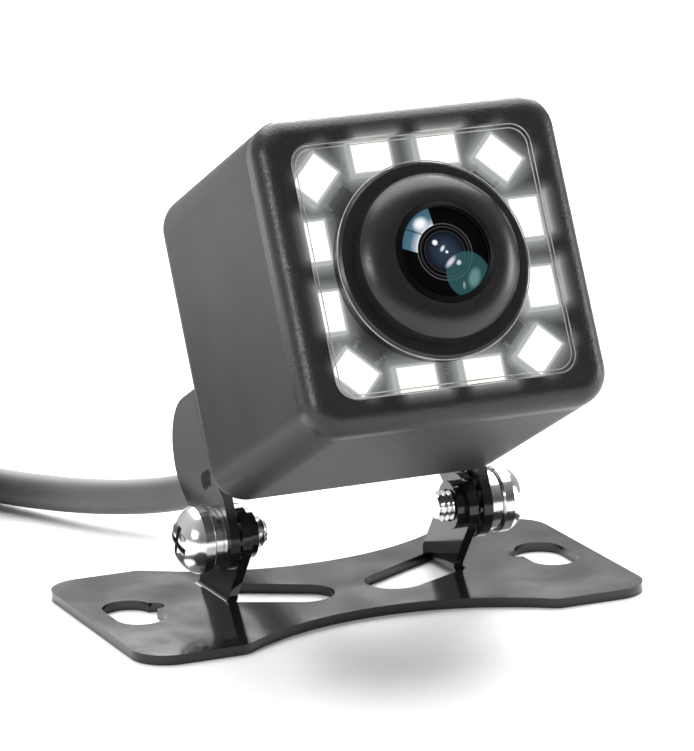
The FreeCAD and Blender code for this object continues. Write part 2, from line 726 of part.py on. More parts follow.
def inner_wires():
    """The four wires from the crimp housing to the end of the cable's jacket."""
    start_y = SENSOR_BOARD_Y + BOARD_T + 4.4
    end_y = HOUSING_D - BACK_WALL - 0.9
    parts = []
    for index in range(4):
        offset = index - 1.5
        parts.append(rod(0.3, (offset * 1.2, start_y, CABLE_EXIT_Z), (offset * 0.65, end_y, CABLE_EXIT_Z)))
    return Part.makeCompound(parts)


# ---- cable --------------------------------------------------------------------------------
def cable_grommet():
    """The rubber gland: an inner collar, a neck through the back and a ribbed, tapered tail."""
    inner = HOUSING_D - BACK_WALL
    web_back = HOUSING_D + YOKE_T
    profile = [
        (0, inner - 0.9), (3.4, inner - 0.9), (3.4, inner), (GROMMET_NECK_R - 0.02, inner),
        (GROMMET_NECK_R - 0.02, web_back), (3.3, web_back), (3.3, web_back + 0.9),
        (2.6, web_back + 1.2), (2.05, GROMMET_TIP_Y), (0, GROMMET_TIP_Y),
    ]
    body = turned(profile)
    for index in range(4):
        y = web_back + 2.1 + 1.1 * index
        body = body.cut(ring(4, 2.02, (0, y, 0), (0, y + 0.45, 0)))
    body.translate(Vector(0, 0, CABLE_EXIT_Z))
    return body


def corner_arc(before, corner, after):
    """The tangent arc at a corner of a route, as (start, middle, end, radius)."""
    back = before - corner
    ahead = after - corner
    reach = 0.45 * min(back.Length, ahead.Length)
    back.normalize()
    ahead.normalize()
    half_turn = (math.pi - back.getAngle(ahead)) / 2
    radius = reach / math.tan(half_turn)
    start = corner + back * reach
    end = corner + ahead * reach
    inward = (back + ahead).normalize()
    centre = corner + inward * math.hypot(radius, reach)
    middle = centre - inward * radius
    return start, middle, end, radius


def tube_along(name, route, radius):
    """A solid tube of straight runs joined by tangent arcs; prints its radii and its length."""
    points = [Vector(*p) for p in route]
    edges = []
    radii = []
    here = points[0]
    for before, corner, after in zip(points, points[1:], points[2:]):
        start, middle, end, bend = corner_arc(before, corner, after)
        edges.append(Part.LineSegment(here, start).toShape())
        edges.append(Part.Arc(start, middle, end).toShape())
        radii.append(round(bend, 1))
        here = end
    edges.append(Part.LineSegment(here, points[-1]).toShape())
    path = Part.Wire(edges)
    section = Part.Wire(Part.makeCircle(radius, points[0], points[1] - points[0]))
    tube = path.makePipeShell([section], True, False)
    expected = math.pi * radius ** 2 * path.Length
    print(name, "radii", radii, "length", round(path.Length, 1), "volume ratio",
          round(tube.Volume / expected, 4))
    return tube


def cable():
    """The free run of the cable, from the gland down to the coil."""
    return tube_along("cable", ROUTE, CABLE_R)


def cable_tail():
    """The last stretch of the cable, from the coil to the plug."""
    return tube_along("cable_tail", TAIL, CABLE_R)


def cable_coil():
    """The outer shape of the coil: a flat ring with rounded edges, on the floor."""
    inner = COIL_TURN_R[0] - CABLE_R
    outer = COIL_TURN_R[1] + CABLE_R
    top = COIL_LAYERS * LAYER_H
    body = Part.makeCylinder(outer, top).cut(Part.makeCylinder(inner, top))
    body = body.makeFillet(1.2, [e for e in body.Edges if len(e.Vertexes) == 1])
    body.translate(Vector(*COIL_CENTRE, 0.02))
    return body


def coil_tie():
    """The twist tie round the coil: a thin band closed by a twist on the outside."""
    inner = COIL_TURN_R[0] - CABLE_R
    outer = COIL_TURN_R[1] + CABLE_R
    top = COIL_LAYERS * LAYER_H
    gap = 0.1
    wall = 0.5
    hollow = box(inner - gap, outer + gap, -2, 2, 0.02, top + 0.02 + gap)
    band = box(inner - gap - wall, outer + gap + wall, -1.5, 1.5, 0.02, top + 0.02 + gap + wall)
    band = band.cut(hollow)
    twist = rod(0.8, (outer + gap + wall - 0.1, 0, 4.5), (outer + gap + 4.5, 0, 4.5))
    body = fuse([band, twist])
    body.rotate(ORIGIN, Z_AXIS, TIE_ANGLE)
    body.translate(Vector(*COIL_CENTRE, 0))
    return body


def plug_place(shape):
    """Move a piece of the plug, drawn along +X from its cable end, to where the tail ends."""
    start = Vector(*TAIL[-1])
    run = start - Vector(*TAIL[-2])
    moved = shape.copy()
    moved.rotate(ORIGIN, Z_AXIS, math.degrees(math.atan2(run.y, run.x)))
    moved.translate(Vector(start.x, start.y, PLUG_R + 0.05))
    return moved


def turned_x(profile):
    """A solid turned about X from (x, radius) points."""
    points = [Vector(x, r, 0) for x, r in profile]
    face = Part.Face(Part.makePolygon(points + points[:1]))
    return face.revolve(ORIGIN, X_AXIS, 360)


def plug_body():
    """The moulded body of the in-line plug, with grip ribs and a hollow mating end."""
    body = turned_x([(5.0, 0), (5.0, 3.0), (7.0, PLUG_R), (PLUG_L, PLUG_R), (PLUG_L, 3.4),
                     (14.0, 3.4), (14.0, 0)])
    for index in range(4):
        x = 8.0 + 1.3 * index
        groove = rod(PLUG_R + 1, (x, 0, 0), (x + 0.6, 0, 0)).cut(
            rod(PLUG_R - 0.3, (x, 0, 0), (x + 0.6, 0, 0)))
        body = body.cut(groove)
    key = box(15.8, PLUG_L, -0.6, 0.6, 3.2, PLUG_R + 0.5)
    return plug_place(fuse([body, key.common(rod(PLUG_R + 0.4, (0, 0, 0), (PLUG_L, 0, 0)))]))


def plug_strain_relief():
    """The tapered boot between the cable and the plug."""
    boot = turned_x([(0, 0), (0, 2.1), (5.0, 2.9), (5.0, 0)])
    for index in range(3):
        x = 0.9 + 1.3 * index
        boot = boot.cut(ring(4, 2.1, (x, 0, 0), (x + 0.5, 0, 0)))
    return plug_place(boot)


def plug_pins():
    """The four contact pins in the plug."""
    pins = []
    for index in range(4):
        angle = math.radians(45 + 90 * index)
        y = 1.5 * math.cos(angle)
        z = 1.5 * math.sin(angle)
        pins.append(rod(0.4, (14.0, y, z), (20.5, y, z)))
    return plug_place(Part.makeCompound(pins))


def plug_seal():
    """The rubber ring in the plug's mouth."""
    return plug_place(ring(3.38, 2.7, (14.0, 0, 0), (15.6, 0, 0)))


# ---- pivot hardware, drawn on the +X side ---------------------------------------------------
def pivot_point(x):
    """A point on the tilt axis."""
    return (x, PIVOT_Y, PIVOT_Z)


def pivot_screw():
    """A pan-head screw with a crossed recess and ring-shaped thread crests."""
    seat, crown = HEAD_X
    rise = crown - seat
    side = Part.LineSegment(Vector(seat, SCREW_HEAD_R - 0.12, 0),
                            Vector(seat + 0.12, SCREW_HEAD_R, 0)).toShape()
    wall = Part.LineSegment(Vector(seat + 0.12, SCREW_HEAD_R, 0),
                            Vector(seat + rise * 0.38, SCREW_HEAD_R, 0)).toShape()
    dome = Part.Arc(Vector(seat + rise * 0.38, SCREW_HEAD_R, 0),
                    Vector(seat + rise * 0.85, SCREW_HEAD_R * 0.70, 0),
                    Vector(crown, 0, 0)).toShape()
    axis = Part.LineSegment(Vector(crown, 0, 0), Vector(seat, 0, 0)).toShape()
    foot = Part.LineSegment(Vector(seat, 0, 0), Vector(seat, SCREW_HEAD_R - 0.12, 0)).toShape()
    head = Part.Face(Part.Wire([side, wall, dome, axis, foot])).revolve(ORIGIN, X_AXIS, 360)
    deep = seat + 0.7
    arms = fuse([box(deep, crown + 1, -1.45, 1.45, -0.27, 0.27),
                 box(deep, crown + 1, -0.27, 0.27, -1.45, 1.45)])
    arms.rotate(ORIGIN, X_AXIS, 20)
    head = head.cut(arms)
    root = SCREW_R - THREAD_DEPTH
    profile = [(SCREW_TIP_X, 0), (SCREW_TIP_X, root - 0.1)]
    x = SCREW_TIP_X + 0.15
    while x + THREAD_PITCH < seat - 0.2:
        profile += [(x, root), (x + THREAD_PITCH * 0.45, SCREW_R),
                    (x + THREAD_PITCH * 0.55, SCREW_R)]
        x += THREAD_PITCH
    profile += [(x, root), (seat + 0.1, root), (seat + 0.1, 0)]
    body = fuse([head, turned_x(profile)])
    body.translate(Vector(0, PIVOT_Y, PIVOT_Z))
    return body


def spring_washer():
    """A split lock washer."""
    start, end = SPRING_X
    body = ring(SPRING_R, HOLE_R + 0.05, pivot_point(start), pivot_point(end))
    gap = box(start - 1, end + 1, -0.3, 0.3, 0, 4)
    gap.rotate(ORIGIN, X_AXIS, 35)
    gap.rotate(ORIGIN, Y_AXIS, 12)
    gap.translate(Vector(2.4, PIVOT_Y, PIVOT_Z))
    return body.cut(gap)


def flat_washer():
    """A plain washer under the spring washer."""
    return ring(WASHER_R, HOLE_R + 0.05, pivot_point(FLAT_X[0]), pivot_point(FLAT_X[1]))


def tooth_washer():
    """A black serrated washer between the yoke's arm and the ear."""
    start, end = TOOTH_X
    points = []
    for index in range(2 * TOOTH_COUNT):
        radius = TOOTH_R if index % 2 == 0 else TOOTH_R - 0.45
        angle = math.pi * index / TOOTH_COUNT
        for nudge in (-0.055, 0.055):
            points.append(Vector(start, PIVOT_Y + radius * math.cos(angle + nudge),
                                 PIVOT_Z + radius * math.sin(angle + nudge)))
    star = Part.Face(Part.makePolygon(points + points[:1])).extrude(X_AXIS * (end - start))
    return star.cut(rod(HOLE_R + 0.05, pivot_point(start - 1), pivot_point(end + 1)))


# ---- export -------------------------------------------------------------------------------
HEAD_NODES = {
    "yoke_bracket": yoke_bracket,
    "yoke_screws": yoke_screws,
    "main_housing": main_housing,
    "front_bezel": front_bezel,
    "housing_seal": housing_seal,
    "led_window": led_window,
    "led_board": led_board,
    "led_packages": led_packages,
    "led_phosphors": led_phosphors,
    "led_resistors": led_resistors,
    "board_posts": board_posts,
    "board_screws": board_screws,
    "lens_shroud": lens_shroud,
    "shroud_seal": shroud_seal,
    "lens_barrel": lens_barrel,
    "lens_retaining_ring": lens_retaining_ring,
    "front_lens": front_lens,
    "lens_spacer": lens_spacer,
    "second_lens": second_lens,
    "third_lens": third_lens,
    "rear_lens": rear_lens,
    "lens_sleeve": lens_sleeve,
    "infrared_filter": infrared_filter,
    "lens_holder": lens_holder,
    "sensor_board": sensor_board,
    "image_sensor": image_sensor,
    "sensor_glass": sensor_glass,
    "processor_chip": processor_chip,
    "board_components": board_components,
    "wire_header": wire_header,
    "wire_plug": wire_plug,
    "inner_wires": inner_wires,
    "cable_grommet": cable_grommet,
}

WORLD_NODES = {
    "base_plate": base_plate,
    "flat_washers": lambda: both_sides(flat_washer()),
    "tooth_washers": lambda: both_sides(tooth_washer()),
    "right_pivot_screw": pivot_screw,
    "left_pivot_screw": lambda: mirrored(pivot_screw()),
    "right_spring_washer": spring_washer,
    "left_spring_washer": lambda: mirrored(spring_washer()),
    "cable": cable,
    "cable_coil": cable_coil,
    "cable_tail": cable_tail,
    "coil_tie": coil_tie,
    "plug_body": plug_body,
    "plug_strain_relief": plug_strain_relief,
    "plug_pins": plug_pins,
    "plug_seal": plug_seal,
}


def main():
    """Write one STEP file per node."""
    os.makedirs("parts", exist_ok=True)
    for name, make in HEAD_NODES.items():
        head_to_world(make()).exportStep("parts/" + name + ".step")
    for name, make in WORLD_NODES.items():
        make().exportStep("parts/" + name + ".step")


main()
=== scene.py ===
# The looks of the backup camera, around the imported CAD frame. Metres, +Z up, the tilt axis along X,
# the camera head looks towards -Y and is pitched up.
import math

import bmesh
import bpy
from mathutils import Matrix, Vector


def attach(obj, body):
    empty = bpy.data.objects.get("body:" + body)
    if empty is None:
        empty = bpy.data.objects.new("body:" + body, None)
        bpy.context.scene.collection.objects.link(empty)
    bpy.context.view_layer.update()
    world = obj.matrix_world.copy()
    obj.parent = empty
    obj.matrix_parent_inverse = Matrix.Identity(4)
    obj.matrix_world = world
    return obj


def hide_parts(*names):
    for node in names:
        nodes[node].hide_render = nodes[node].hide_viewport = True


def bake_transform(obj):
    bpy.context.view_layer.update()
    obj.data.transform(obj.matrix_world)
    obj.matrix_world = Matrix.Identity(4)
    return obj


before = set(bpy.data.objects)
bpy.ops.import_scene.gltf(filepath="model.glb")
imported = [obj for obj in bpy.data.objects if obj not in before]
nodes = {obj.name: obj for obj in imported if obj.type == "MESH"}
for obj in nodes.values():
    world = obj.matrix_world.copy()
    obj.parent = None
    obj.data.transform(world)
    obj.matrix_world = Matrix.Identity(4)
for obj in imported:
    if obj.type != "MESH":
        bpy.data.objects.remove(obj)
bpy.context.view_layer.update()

MM = 0.001

# Head frame, as in the CAD: origin at the centre of the housing's front plane, y back, z up
TILT = math.radians(26.5)
PIVOT_HEAD = Vector((0, 27.05, -14.2)) * MM
PIVOT = Vector((0, -1.0, 6.5)) * MM
HEAD_TO_WORLD = Matrix.Translation(PIVOT) @ Matrix.Rotation(-TILT, 4, "X") @ Matrix.Translation(-PIVOT_HEAD)

scene = bpy.context.scene
scene.view_settings.view_transform = "Standard"
scene.view_settings.look = "None"


# ---- camera --------------------------------------------------------------------------------
CAMERA_AZIMUTH = math.radians(-22.96)
CAMERA_ELEVATION = math.radians(13.98)
CAMERA_ROLL = math.radians(-1.393)
CAMERA_PLACE = Vector((-158.73, -375.84, 119.60)) * MM
CAMERA_LENS = 254.1


def add_camera():
    back = Vector((
        math.sin(CAMERA_AZIMUTH) * math.cos(CAMERA_ELEVATION),
        -math.cos(CAMERA_AZIMUTH) * math.cos(CAMERA_ELEVATION),
        math.sin(CAMERA_ELEVATION),
    ))
    right = Vector((math.cos(CAMERA_AZIMUTH), math.sin(CAMERA_AZIMUTH), 0))
    up = back.cross(right)
    turn = Matrix((right, up, back)).transposed().to_4x4() @ Matrix.Rotation(CAMERA_ROLL, 4, "Z")
    data = bpy.data.cameras.new("camera")
    data.lens = CAMERA_LENS
    data.sensor_width = 36
    data.clip_start = 0.02
    camera = bpy.data.objects.new("camera", data)
    camera.matrix_world = Matrix.Translation(CAMERA_PLACE) @ turn
    scene.collection.objects.link(camera)
    scene.camera = camera


add_camera()


# ---- small helpers -------------------------------------------------------------------------
def link(obj):
    scene.collection.objects.link(obj)
    return obj


def mesh_object(name, mesh, body, material):
    obj = link(bpy.data.objects.new(name, mesh))
    mesh.materials.clear()
    mesh.materials.append(material)
    if body:
        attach(obj, body)
    return obj


class Tree:
    """A material's node tree, with short calls to add and join its nodes."""

    def __init__(self, tree):
        self.tree = tree
        tree.nodes.clear()

    def node(self, kind, **values):
        made = self.tree.nodes.new(kind)
        for name, value in values.items():
            setattr(made, name, value)
        return made

    def join(self, source, target):
        self.tree.links.new(source, target)

    def put(self, socket, value):
        if isinstance(value, bpy.types.NodeSocket):
            self.join(value, socket)
        elif value is not None:
            socket.default_value = value

    def math(self, operation, *values):
        made = self.node("ShaderNodeMath", operation=operation)
        for socket, value in zip(made.inputs, values):
            self.put(socket, value)
        return made.outputs[0]

    def vector_math(self, operation, *values):
        made = self.node("ShaderNodeVectorMath", operation=operation)
        for socket, value in zip(made.inputs, values):
            self.put(socket, value)
        return made.outputs["Vector"]

    def place(self):
        return self.node("ShaderNodeTexCoord").outputs["Object"]

    def turned(self, vector, rotation):
        made = self.node("ShaderNodeMapping")
        self.join(vector, made.inputs["Vector"])
        made.inputs["Rotation"].default_value = rotation
        return made.outputs[0]

    def head_place(self):
        """The shading point in the head frame, in millimetres."""
        moved = self.vector_math("SUBTRACT", self.place(), tuple(PIVOT))
        levelled = self.turned(moved, (TILT, 0, 0))
        shifted = self.vector_math("ADD", levelled, tuple(PIVOT_HEAD))
        scaled = self.node("ShaderNodeVectorMath", operation="SCALE")
        self.join(shifted, scaled.inputs[0])
        scaled.inputs["Scale"].default_value = 1 / MM
        return scaled.outputs["Vector"]

    def split(self, vector):
        made = self.node("ShaderNodeSeparateXYZ")
        self.join(vector, made.inputs[0])
        return made.outputs[0], made.outputs[1], made.outputs[2]

    def noise(self, vector, size, detail=3.0, roughness=0.55):
        """Noise whose features are about size metres across."""
        made = self.node("ShaderNodeTexNoise")
        self.join(vector, made.inputs["Vector"])
        made.inputs["Scale"].default_value = 1 / size
        made.inputs["Detail"].default_value = detail
        made.inputs["Roughness"].default_value = roughness
        return made.outputs["Fac"]

    def spots(self, vector, size):
        """The distance to the nearest of points scattered about size metres apart."""
        made = self.node("ShaderNodeTexVoronoi", feature="F1")
        self.join(vector, made.inputs["Vector"])
        made.inputs["Scale"].default_value = 1 / size
        return made.outputs["Distance"]

    def ramp(self, fac, stops):
        """stops: (position, grey or colour)."""
        made = self.node("ShaderNodeValToRGB")
        self.join(fac, made.inputs[0])
        elements = made.color_ramp.elements
        while len(elements) < len(stops):
            elements.new(0.5)
        for element, (position, colour) in zip(elements, stops):
            element.position = position
            element.color = rgba(colour)
        return made.outputs[0]

    def range(self, value, low, high, to_low=0.0, to_high=1.0, smooth=False):
        made = self.node("ShaderNodeMapRange")
        if smooth:
            made.interpolation_type = "SMOOTHSTEP"
        for name, number in (("Value", value), ("From Min", low), ("From Max", high),
                             ("To Min", to_low), ("To Max", to_high)):
            self.put(made.inputs[name], number)
        return made.outputs["Result"]

    def mix(self, fac, a, b):
        made = self.node("ShaderNodeMix", data_type="RGBA")
        self.put(made.inputs["Factor"], fac)
        for socket, value in ((made.inputs["A"], a), (made.inputs["B"], b)):
            sockets = [s for s in made.inputs if s.name == socket.name and s.type == "RGBA"]
            self.put(sockets[0], value if isinstance(value, bpy.types.NodeSocket) else rgba(value))
        return [s for s in made.outputs if s.type == "RGBA"][0]

    def bump(self, height, strength, distance):
        made = self.node("ShaderNodeBump")
        self.join(height, made.inputs["Height"])
        made.inputs["Strength"].default_value = strength
        made.inputs["Distance"].default_value = distance
        return made.outputs["Normal"]

    def output(self, surface):
        self.join(surface, self.node("ShaderNodeOutputMaterial").inputs["Surface"])


def rgba(colour):
    if isinstance(colour, (int, float)):
        return (colour, colour, colour, 1)
    return tuple(colour) + (1,) if len(colour) == 3 else tuple(colour)


def material(name, build):
    made = bpy.data.materials.new(name)
    made.use_nodes = True
    build(Tree(made.node_tree))
    return made


def principled(t, colour, roughness, metallic=0.0, normal=None, **sockets):
    shader = t.node("ShaderNodeBsdfPrincipled")
    t.put(shader.inputs["Base Color"], colour if isinstance(colour, bpy.types.NodeSocket) else rgba(colour))
    t.put(shader.inputs["Roughness"], roughness)
    shader.inputs["Metallic"].default_value = metallic
    if normal is not None:
        t.join(normal, shader.inputs["Normal"])
    for name, value in sockets.items():
        t.put(shader.inputs[name.replace("_", " ")], value)
    return shader.outputs[0]


# ---- the cable: its line first, as its spread decides the model's box ------------------------
CABLE_D = 3.0 * MM
ROUTE = [
    (0, 7.63, 11.36), (0, 12.85, 8.76), (-2.1, 18.60, 5.25), (-5.9, 23.30, 3.30),
    (-10.2, 28.20, 2.50), (-13.6, 34.30, 1.95), (-16.6, 40.90, 1.60),
]
TAIL = [(-46.5, 62.1, 7.4), (-55.3, 58.8, 6.3), (-61.6, 52.2, 5.2), (-64.6, 43.8, 4.6), (-65.0, 35.5, 4.45)]
COIL_CENTRE = (-37.8, 43.4)
TURN_OUTER, TURN_INNER = 18.7, 15.6
LAYERS = (1.55, 4.6, 7.65)
FIRST_ANGLE, LAST_ANGLE, COIL_STEPS = 10.7, 1515.0, 50
# How far along the winding, in degrees, the lane changes: (start, end, radius, height)
LANES = [
    (0, 340, TURN_OUTER, LAYERS[0]),
    (370, 670, TURN_INNER, LAYERS[0]),
    (700, 1000, TURN_INNER, LAYERS[1]),
    (1030, 1330, TURN_OUTER, LAYERS[1]),
    (1360, 1600, TURN_OUTER, LAYERS[2]),
]


def lane_at(angle):
    """The winding's radius and height at that angle, sliding over between two lanes."""
    for (_, end, r0, z0), (start, _, r1, z1) in zip(LANES, LANES[1:]):
        if angle <= end:
            return r0, z0
        if angle < start:
            share = (angle - end) / (start - end)
            share = share * share * (3 - 2 * share)
            return r0 + (r1 - r0) * share, z0 + (z1 - z0) * share
    return LANES[-1][2], LANES[-1][3]


def winding():
    """The coil's turns as control points, set out so far that the smooth line runs at the lane's radius."""
    step = (LAST_ANGLE - FIRST_ANGLE) / COIL_STEPS
    out = 1 / (0.5 + 0.5 * math.cos(math.radians(step)))
    points = []
    for i in range(COIL_STEPS + 1):
        angle = FIRST_ANGLE + i * step
        radius, height = lane_at(angle)
        points.append((
            COIL_CENTRE[0] + radius * out * math.cos(math.radians(angle)),
            COIL_CENTRE[1] + radius * out * math.sin(math.radians(angle)),
            height,
        ))
    return points


def nurbs(name, points):
    curve = bpy.data.curves.new(name, "CURVE")
    curve.dimensions = "3D"
    spline = curve.splines.new("NURBS")
    spline.points.add(len(points) - 1)
    for point, place in zip(spline.points, points):
        point.co = (*[c * MM for c in place], 1)
    spline.order_u = 3
    spline.use_endpoint_u = True
    spline.resolution_u = 10
    return bpy.data.objects.new(name, curve)


def line_of(points):
    """The points that a bare NURBS curve through these control points follows."""
    obj = link(nurbs("cable_line", points))
    mesh = bpy.data.meshes.new_from_object(obj)
    line = [v.co.copy() for v in mesh.vertices]
    bpy.data.objects.remove(obj)
    bpy.data.meshes.remove(mesh)
    return line


def tube(name, line, radius, sides=20):
    """A closed tube swept along the line, without twist."""
    mesh = bmesh.new()
    rings = []
    along = (line[1] - line[0]).normalized()
    side = along.orthogonal().normalized()
    for i, place in enumerate(line):
        ahead = line[min(i + 1, len(line) - 1)] - line[max(i - 1, 0)]
        ahead.normalize()
        side = (side - ahead * side.dot(ahead)).normalized()
        other = ahead.cross(side)
        rings.append([
            mesh.verts.new(place + radius * (math.cos(a) * side + math.sin(a) * other))
            for a in (2 * math.pi * k / sides for k in range(sides))
        ])
    for near, far in zip(rings, rings[1:]):
        for k in range(sides):
            mesh.faces.new((near[k], near[(k + 1) % sides], far[(k + 1) % sides], far[k]))
    mesh.faces.new(list(reversed(rings[0])))
    mesh.faces.new(rings[-1])
    made = bpy.data.meshes.new(name)
    mesh.to_mesh(made)
    mesh.free()
    for face in made.polygons:
        face.use_smooth = len(face.vertices) == 4
    return made


CABLE_POINTS = ROUTE + winding() + TAIL
cable_line = line_of(CABLE_POINTS)
cable_length = sum((b - a).length for a, b in zip(cable_line, cable_line[1:]))
print("cable length", round(cable_length, 4), "points", len(CABLE_POINTS), len(cable_line))


def jacket(t):
    place = t.place()
    broad = t.noise(place, 6 * MM, 2)
    fine = t.noise(place, 0.25 * MM, 4)
    colour = t.ramp(broad, [(0.35, 0.10), (0.7, 0.12)])
    rough = t.range(fine, 0.3, 0.7, 0.42, 0.55)
    normal = t.bump(fine, 0.25, 0.03 * MM)
    t.output(principled(t, colour, rough, normal=normal))


cable = mesh_object("camera_cable", tube("camera_cable", cable_line, CABLE_D / 2), None,
                    material("cable_jacket", jacket))
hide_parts("cable", "cable_coil", "cable_tail")
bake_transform(cable)


# ---- floor and light ---------------------------------------------------------------------------
def paper(t):
    grain = t.noise(t.place(), 3 * MM, 2)
    t.output(principled(t, t.ramp(grain, [(0.3, 0.83), (0.7, 0.85)]), 0.7))


FLOOR_HALF = 4.0


def add_floor():
    mesh = bpy.data.meshes.new("floor")
    corners = [(sx * FLOOR_HALF, sy * FLOOR_HALF, 0) for sx, sy in ((-1, -1), (1, -1), (1, 1), (-1, 1))]
    mesh.from_pydata(corners, [], [(0, 1, 2, 3)])
    floor = link(bpy.data.objects.new("floor", mesh))
    mesh.materials.append(material("paper", paper))


def add_light(name, place, aim, size, power):
    data = bpy.data.lights.new(name, "AREA")
    data.energy = power
    data.size = size
    obj = link(bpy.data.objects.new(name, data))
    obj.location = place
    obj.rotation_euler = (Vector(aim) - Vector(place)).to_track_quat("-Z", "Y").to_euler()


def add_world():
    """A grey room that is brighter behind the object, to its left and overhead."""
    world = bpy.data.worlds.new("world")
    scene.world = world
    world.use_nodes = True
    t = Tree(world.node_tree)
    direction = t.node("ShaderNodeTexCoord").outputs["Generated"]
    x, y, z = t.split(direction)
    behind = t.range(y, -0.6, 0.8, 0.10, 0.62, smooth=True)
    left = t.range(x, -1.0, 0.3, 0.22, 0.0, smooth=True)
    up = t.range(z, 0.1, 1.0, 0.0, 0.25, smooth=True)
    strength = t.math("ADD", t.math("ADD", behind, left), up)
    back = t.node("ShaderNodeBackground")
    t.join(strength, back.inputs["Strength"])
    t.join(back.outputs[0], t.node("ShaderNodeOutputWorld").inputs["Surface"])


add_floor()
add_world()
add_light("top_softbox", (0.12, 0.24, 0.50), (0, 0, 0.01), 0.75, 7.5)
add_light("back_softbox", (0.25, 0.45, 0.34), (0, 0, 0.01), 0.32, 3.0)
add_light("left_softbox", (-0.50, -0.20, 0.22), (0, 0, 0.02), 0.16, 1.1)
add_light("right_softbox", (0.50, -0.14, 0.10), (0, 0, 0.02), 0.20, 1.0)


# ---- materials -----------------------------------------------------------------------------------
def coating(colour, rough, grain_size, grain, spread=0.12, shine=0.1):
    """A sprayed coat: fine grain in its surface, slightly uneven sheen and colour."""
    def build(t):
        place = t.place()
        broad = t.noise(place, 9 * MM, 2)
        fine = t.noise(place, grain_size, 3, 0.6)
        tone = t.ramp(broad, [(0.3, colour * (1 - spread)), (0.7, colour * (1 + spread))])
        sheen = t.range(fine, 0.3, 0.7, rough - 0.05, rough + 0.07)
        t.output(principled(t, tone, sheen, normal=t.bump(fine, grain, 0.05 * MM), Specular_IOR_Level=shine))
    return build


def gloss_paint(t):
    place = t.place()
    peel = t.noise(place, 1.6 * MM, 2)
    dust = t.spots(place, 0.8 * MM)
    tone = t.ramp(dust, [(0.03, 0.06), (0.06, 0.012)])
    sheen = t.range(t.noise(place, 5 * MM, 3), 0.3, 0.7, 0.07, 0.12)
    t.output(principled(t, tone, sheen, normal=t.bump(peel, 0.06, 0.05 * MM)))


GLOSS_BELOW_Z, COAT_ABOVE_Z = 8.2 * MM, 10.2 * MM


def yoke_coat(t):
    """Grey sprayed coat on the web and lobes, turning to glossy black low on the arms."""
    place = t.place()
    fine = t.noise(place, 0.16 * MM, 3, 0.6)
    _, _, height = t.split(place)
    coated = t.range(height, GLOSS_BELOW_Z, COAT_ABOVE_Z, smooth=True)
    tone = t.mix(coated, (0.012,) * 3, (0.08,) * 3)
    rough = t.math("ADD", 0.12, t.math("MULTIPLY", coated, 0.3))
    t.output(principled(t, tone, rough, normal=t.bump(fine, 0.12, 0.05 * MM), Specular_IOR_Level=0.4))


def bright_metal(tint, rough, grain_size=0.35 * MM):
    def build(t):
        place = t.place()
        fine = t.noise(place, grain_size, 4, 0.6)
        broad = t.noise(place, 1.6 * MM, 2)
        tone = t.mix(t.range(broad, 0.35, 0.65), [c * 0.9 for c in tint], tint)
        sheen = t.range(fine, 0.3, 0.75, rough, rough + 0.12)
        t.output(principled(t, tone, sheen, metallic=1.0, normal=t.bump(fine, 0.08, 0.03 * MM)))
    return build


def dark_metal(t):
    place = t.place()
    fine = t.noise(place, 0.3 * MM, 3)
    tone = t.ramp(fine, [(0.3, 0.012), (0.7, 0.03)])
    rough = t.range(fine, 0.3, 0.7, 0.22, 0.38)
    t.output(principled(t, tone, rough, normal=t.bump(fine, 0.15, 0.03 * MM)))


def plastic(colour, rough, grain_size, grain, variation=0.1, **sockets):
    def build(t):
        place = t.place()
        fine = t.noise(place, grain_size, 3)
        broad = t.noise(place, 4 * MM, 2)
        base = (colour,) * 3 if isinstance(colour, float) else colour
        tone = t.mix(broad, [c * (1 - variation) for c in base], [c * (1 + variation) for c in base])
        t.output(principled(t, tone, t.range(fine, 0.3, 0.7, rough, rough + 0.1),
                            normal=t.bump(fine, grain, 0.03 * MM), **sockets))
    return build


def dress(build, name, *names):
    """Gives those CAD nodes one material."""
    made = material(name, build)
    for node in names:
        data = nodes[node].data
        data.materials.clear()
        data.materials.append(made)


dress(coating(0.050, 0.42, 0.16 * MM, 0.22), "grey_coat", "main_housing")
dress(yoke_coat, "yoke_coat", "yoke_bracket")
dress(gloss_paint, "gloss_black", "base_plate")
dress(bright_metal((0.86, 0.86, 0.87), 0.12), "nickel",
      "left_pivot_screw", "right_pivot_screw", "left_spring_washer", "right_spring_washer", "flat_washers")
dress(bright_metal((0.75, 0.76, 0.78), 0.25), "zinc", "yoke_screws", "board_screws", "board_posts")
dress(dark_metal, "black_oxide", "tooth_washers")
dress(plastic(0.02, 0.5, 0.2 * MM, 0.3), "rubber",
      "housing_seal", "shroud_seal", "cable_grommet", "plug_strain_relief", "plug_seal")
dress(plastic(0.010, 0.27, 0.3 * MM, 0.15), "shroud_black", "lens_shroud", "lens_holder")
dress(plastic(0.002, 0.35, 0.1 * MM, 0.2, Specular_IOR_Level=0.08), "anodised",
      "lens_barrel", "lens_retaining_ring", "lens_spacer", "lens_sleeve")
dress(plastic((0.03, 0.16, 0.07), 0.35, 0.3 * MM, 0.1), "green_board", "sensor_board")
dress(plastic(0.015, 0.4, 0.1 * MM, 0.2), "chips", "image_sensor", "processor_chip", "board_components")
dress(plastic((0.72, 0.70, 0.64), 0.4, 0.3 * MM, 0.1), "nylon", "wire_header", "wire_plug")
dress(plastic((0.45, 0.03, 0.03), 0.35, 0.3 * MM, 0.1), "wires", "inner_wires")
dress(plastic(0.02, 0.35, 0.3 * MM, 0.15), "tie", "coil_tie")
dress(plastic(0.02, 0.28, 0.3 * MM, 0.15), "plug_black", "plug_body")
dress(bright_metal((0.95, 0.74, 0.36), 0.2), "gold", "plug_pins")


